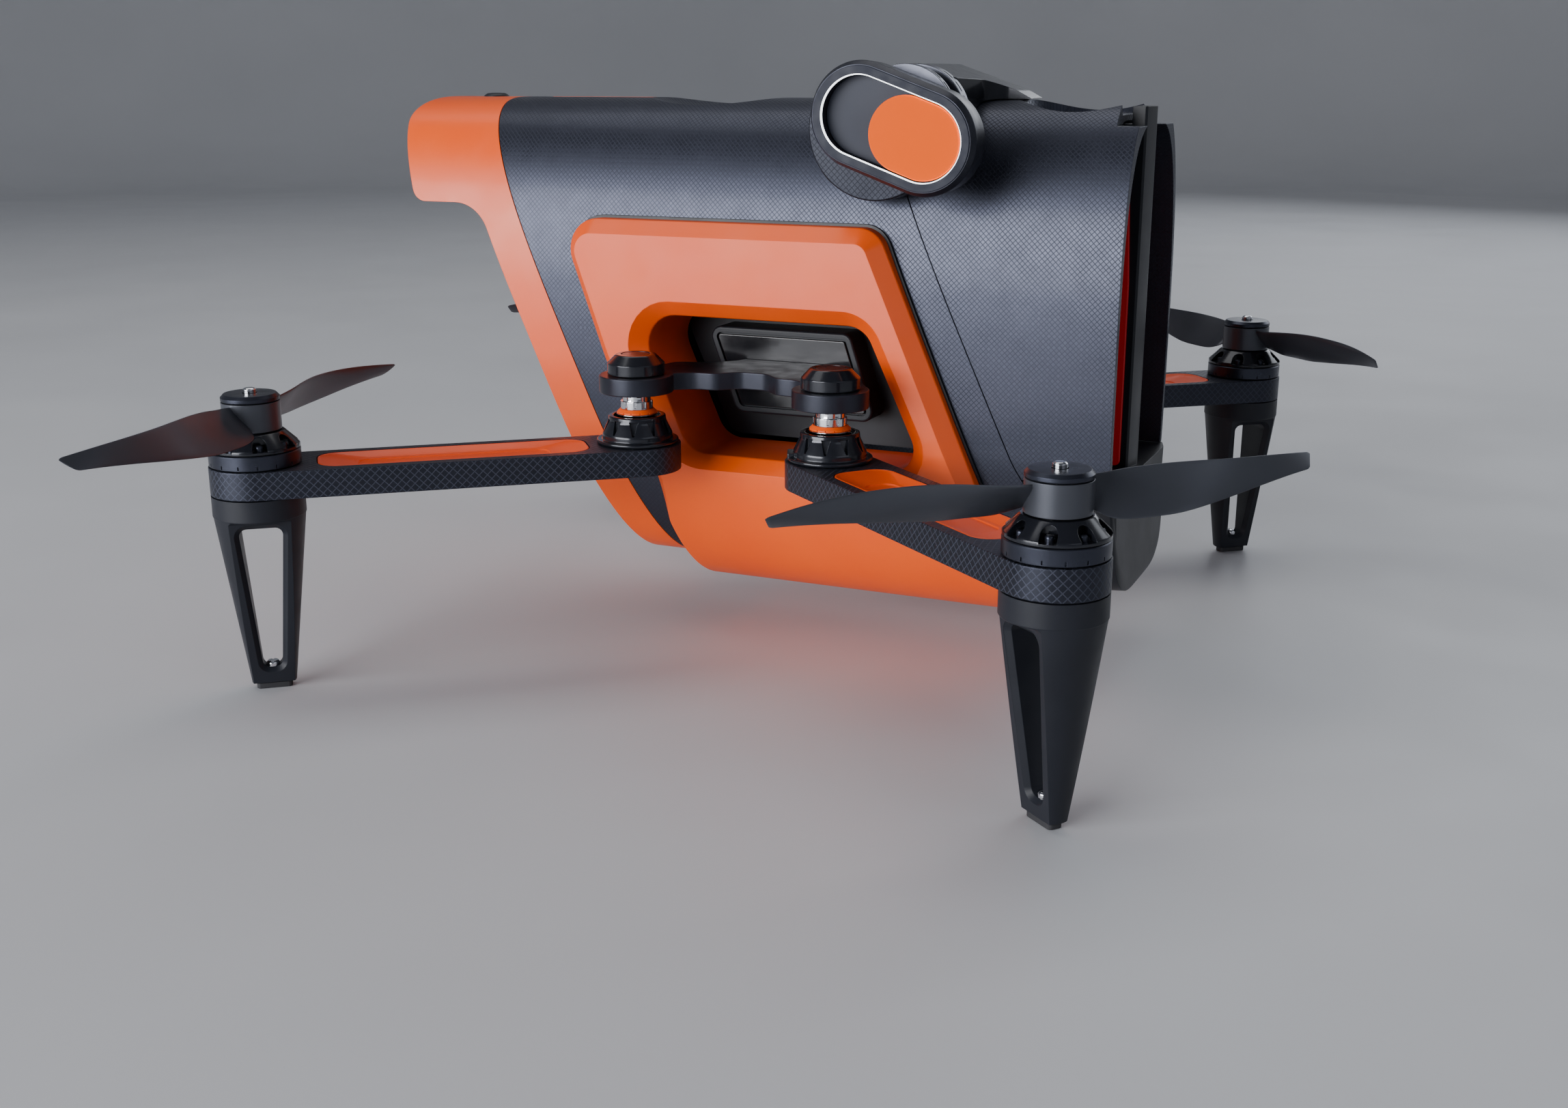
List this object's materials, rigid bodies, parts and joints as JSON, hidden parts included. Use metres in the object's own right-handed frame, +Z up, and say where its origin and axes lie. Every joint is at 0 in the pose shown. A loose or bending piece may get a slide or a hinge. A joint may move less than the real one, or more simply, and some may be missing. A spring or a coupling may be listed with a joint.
{
  "type": "racing drone",
  "caption": "Folding quadcopter with a tall carbon tube body, orange side frames and tail, clamped arms on bridge plates, tapered legs and a tilting camera pod.",
  "frame": {"origin": "on the floor, under the middle of the drone's box seen from above; the body's own middle plane is at y = +0.0098 m, and the middle between the motors at x = +0.0004 m", "axes": "+Z up; -Y the way the camera looks; +X the drone's left, towards the nose end with the light strips; the hook is at -X"},
  "size_m": [0.3433, 0.4035, 0.182],
  "materials": {
    "carbon_weave": "satin carbon weave with fine diagonal lines",
    "arm_carbon": "satin carbon weave, coarser than the body",
    "orange_satin": "satin orange lacquer",
    "arm_orange": "satin orange, dished tray",
    "black_anodised": "black anodised, satin",
    "clamp_metal": "black anodised, glossy chamfers",
    "motor_metal": "black anodised, turned",
    "rotor_metal": "black anodised, turned",
    "spindle_chrome": "polished",
    "black_plastic": "black, satin",
    "leg_plastic": "black, satin",
    "propeller_plastic": "black, semi-gloss",
    "red_lens": "deep red translucent lens",
    "foot_rubber": "matt"
  },
  "bodies": {
    "airframe": {"main_shell": "carbon_weave", "nose_shell": "carbon_weave", "tail_cap": "orange_satin", "front_side_frame": "orange_satin", "rear_side_frame": "orange_satin", "battery_pack": "black_plastic", "nose_frame": "black_plastic", "front_light_strip": "red_lens", "rear_light_strip": "red_lens", "front_bridge_plate": "black_anodised", "rear_bridge_plate": "black_anodised", "camera_mount": "carbon_weave", "gimbal_arm": "black_anodised", "front_left_pivot_spindle": "spindle_chrome", "front_right_pivot_spindle": "spindle_chrome", "rear_left_pivot_spindle": "spindle_chrome", "rear_right_pivot_spindle": "spindle_chrome"},
    "front_left_arm": {"front_left_arm": "arm_carbon", "front_left_arm_inlay": "arm_orange", "front_left_pivot_collar": "clamp_metal", "front_left_leg": "leg_plastic", "front_left_foot_pad": "foot_rubber", "front_left_motor_base": "motor_metal"},
    "front_left_rotor": {"front_left_rotor_bell": "rotor_metal", "front_left_propeller": "propeller_plastic", "front_left_hub_cap": "rotor_metal"},
    "front_left_knob": {"front_left_clamp_knob": "clamp_metal"},
    "front_right_arm": {"front_right_arm": "arm_carbon", "front_right_arm_inlay": "arm_orange", "front_right_pivot_collar": "clamp_metal", "front_right_leg": "leg_plastic", "front_right_foot_pad": "foot_rubber", "front_right_motor_base": "motor_metal"},
    "front_right_rotor": {"front_right_rotor_bell": "rotor_metal", "front_right_propeller": "propeller_plastic", "front_right_hub_cap": "rotor_metal"},
    "front_right_knob": {"front_right_clamp_knob": "clamp_metal"},
    "rear_left_arm": {"rear_left_arm": "arm_carbon", "rear_left_arm_inlay": "arm_orange", "rear_left_pivot_collar": "clamp_metal", "rear_left_leg": "leg_plastic", "rear_left_foot_pad": "foot_rubber", "rear_left_motor_base": "motor_metal"},
    "rear_left_rotor": {"rear_left_rotor_bell": "rotor_metal", "rear_left_propeller": "propeller_plastic", "rear_left_hub_cap": "rotor_metal"},
    "rear_left_knob": {"rear_left_clamp_knob": "clamp_metal"},
    "rear_right_arm": {"rear_right_arm": "arm_carbon", "rear_right_arm_inlay": "arm_orange", "rear_right_pivot_collar": "clamp_metal", "rear_right_leg": "leg_plastic", "rear_right_foot_pad": "foot_rubber", "rear_right_motor_base": "motor_metal"},
    "rear_right_rotor": {"rear_right_rotor_bell": "rotor_metal", "rear_right_propeller": "propeller_plastic", "rear_right_hub_cap": "rotor_metal"},
    "rear_right_knob": {"rear_right_clamp_knob": "clamp_metal"},
    "camera_pod": {"pod_housing": "black_anodised"},
    "pod_cover": {"lens_cover": "orange_satin"},
    "button": {"power_button": "black_plastic"}
  },
  "joints": [
    {"name": "front_left_arm_fold", "type": "hinge", "parent": "airframe", "child": "front_left_arm", "pos_m": [0.0325, -0.0538, 0.065], "axis": [0, 0, 1], "range_deg": [0, 32]},
    {"name": "front_left_rotor_spin", "type": "hinge", "parent": "front_left_arm", "child": "front_left_rotor", "pos_m": [0.1198, -0.1257, 0.08], "axis": [0, 0, 1], "continuous": true},
    {"name": "front_left_knob_turn", "type": "hinge", "parent": "airframe", "child": "front_left_knob", "pos_m": [0.0325, -0.0538, 0.092], "axis": [0, 0, 1], "range_deg": [0, 90]},
    {"name": "front_right_arm_fold", "type": "hinge", "parent": "airframe", "child": "front_right_arm", "pos_m": [-0.0317, -0.0538, 0.065], "axis": [0, 0, -1], "range_deg": [0, 32]},
    {"name": "front_right_rotor_spin", "type": "hinge", "parent": "front_right_arm", "child": "front_right_rotor", "pos_m": [-0.119, -0.1257, 0.08], "axis": [0, 0, 1], "continuous": true},
    {"name": "front_right_knob_turn", "type": "hinge", "parent": "airframe", "child": "front_right_knob", "pos_m": [-0.0317, -0.0538, 0.092], "axis": [0, 0, 1], "range_deg": [0, 90]},
    {"name": "rear_left_arm_fold", "type": "hinge", "parent": "airframe", "child": "rear_left_arm", "pos_m": [0.0325, 0.0734, 0.065], "axis": [0, 0, -1], "range_deg": [0, 32]},
    {"name": "rear_left_rotor_spin", "type": "hinge", "parent": "rear_left_arm", "child": "rear_left_rotor", "pos_m": [0.1198, 0.1453, 0.08], "axis": [0, 0, 1], "continuous": true},
    {"name": "rear_left_knob_turn", "type": "hinge", "parent": "airframe", "child": "rear_left_knob", "pos_m": [0.0325, 0.0734, 0.092], "axis": [0, 0, 1], "range_deg": [0, 90]},
    {"name": "rear_right_arm_fold", "type": "hinge", "parent": "airframe", "child": "rear_right_arm", "pos_m": [-0.0317, 0.0734, 0.065], "axis": [0, 0, 1], "range_deg": [0, 32]},
    {"name": "rear_right_rotor_spin", "type": "hinge", "parent": "rear_right_arm", "child": "rear_right_rotor", "pos_m": [-0.119, 0.1453, 0.08], "axis": [0, 0, 1], "continuous": true},
    {"name": "rear_right_knob_turn", "type": "hinge", "parent": "airframe", "child": "rear_right_knob", "pos_m": [-0.0317, 0.0734, 0.092], "axis": [0, 0, 1], "range_deg": [0, 90]},
    {"name": "camera_tilt", "type": "hinge", "parent": "airframe", "child": "camera_pod", "pos_m": [0.0479, -0.0386, 0.166], "axis": [0, -1, 0], "range_deg": [-30, 60]},
    {"name": "cover_slide", "type": "slide", "parent": "camera_pod", "child": "pod_cover", "axis": [-0.9401, 0, 0.341], "range_m": [0, 0.013]},
    {"name": "button_press", "type": "slide", "parent": "airframe", "child": "button", "axis": [0, 0, -1], "range_m": [0, 0.0008], "stiffness_N_per_m": 600}
  ]
}
